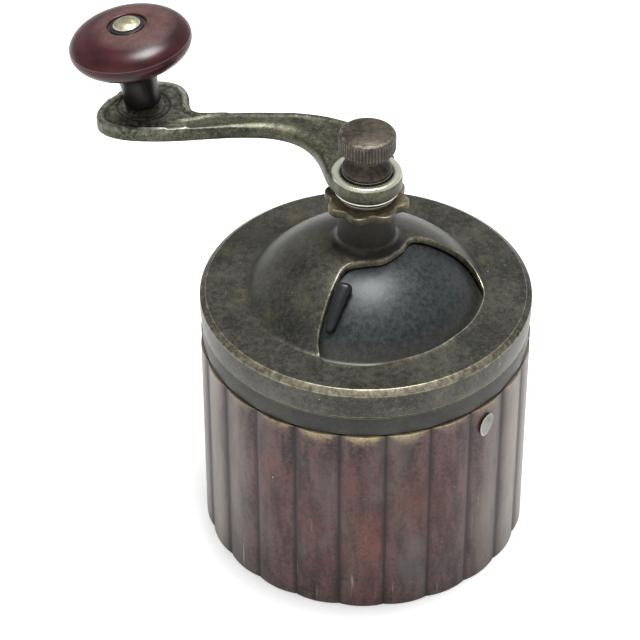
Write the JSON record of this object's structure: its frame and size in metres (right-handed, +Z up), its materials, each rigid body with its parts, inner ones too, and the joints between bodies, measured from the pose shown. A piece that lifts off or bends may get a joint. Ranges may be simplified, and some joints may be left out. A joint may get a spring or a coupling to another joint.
{
  "type": "coffee grinder mill",
  "caption": "Hand-cranked coffee mill: fluted can, domed head with a turning shutter, conical burrs on a vertical spindle, S-shaped crank with a turning knob.",
  "frame": {"origin": "centre of the underside, where the can stands", "axes": "+Z up along the spindle, -Y the front with the feed opening, the crank reaches towards -X"},
  "size_m": [0.1392, 0.1032, 0.1569],
  "materials": {
    "aged_can": "browned and worn, with reddish patches",
    "dark_bronze": "dark patina with worn golden edges",
    "black_shutter": "smooth blue-black, satin",
    "arm_bronze": "cast, grey-green bronzed, worn",
    "knob_burgundy": "moulded thermoset, glossy",
    "nut_brown": "browned steel, knurled",
    "bright_steel": "dulled bright steel",
    "dark_steel": "oiled dark steel",
    "burr_iron": "ground cast iron",
    "brass": "aged"
  },
  "bodies": {
    "can": {"fluted_can": "aged_can", "base_plate": "dark_steel", "locating_stud_1": "bright_steel", "locating_stud_2": "bright_steel"},
    "head": {"collar_ring": "dark_bronze", "top_cover": "dark_bronze", "hopper_bowl": "dark_steel", "outer_burr": "burr_iron", "lower_bridge": "dark_steel", "lower_bush": "brass", "neck_bush": "brass", "burr_screw_1": "bright_steel", "burr_screw_2": "bright_steel", "burr_screw_3": "bright_steel", "hopper_screw_1": "bright_steel", "hopper_screw_2": "bright_steel", "hopper_screw_3": "bright_steel", "spring_washer": "bright_steel"},
    "shutter": {"shutter": "black_shutter", "shutter_tab": "black_shutter"},
    "drive": {"lock_washer": "dark_steel"},
    "adjuster": {"adjusting_nut": "dark_bronze"},
    "crank": {"spindle": "bright_steel", "inner_burr": "burr_iron", "burr_nut": "bright_steel", "spring": "bright_steel", "crank_washer": "bright_steel", "crank_arm": "arm_bronze", "nut_washer": "bright_steel", "thumb_nut": "nut_brown", "knob_rivet": "brass", "rivet_washer": "bright_steel"},
    "knob": {"knob": "knob_burgundy"}
  },
  "joints": [
    {"name": "head_lift", "type": "slide", "parent": "can", "child": "head", "axis": [0, 0, 1], "range_m": [0, 0.055]},
    {"name": "shutter_turn", "type": "hinge", "parent": "head", "child": "shutter", "pos_m": [0, 0, 0.083], "axis": [0, 0, 1], "range_deg": [0, 114]},
    {"name": "crank_turn", "type": "hinge", "parent": "head", "child": "drive", "pos_m": [0, 0, 0.12], "axis": [0, 0, 1], "continuous": true},
    {"name": "adjust_turn", "type": "hinge", "parent": "drive", "child": "adjuster", "pos_m": [0, 0, 0.118], "axis": [0, 0, 1], "range_deg": [-72.5, 361]},
    {"name": "grind_shift", "type": "slide", "parent": "drive", "child": "crank", "axis": [0, 0, 1], "range_m": [-0.001, 0.0002], "deforming": ["spring"]},
    {"name": "knob_spin", "type": "hinge", "parent": "crank", "child": "knob", "pos_m": [-0.0675, 0.034, 0.1275], "axis": [-0.1271, 0, 0.9919], "continuous": true}
  ],
  "couplings": [
    {"joint": "adjust_turn", "follows": "grind_shift", "rad_per_m": -6283.2}
  ]
}
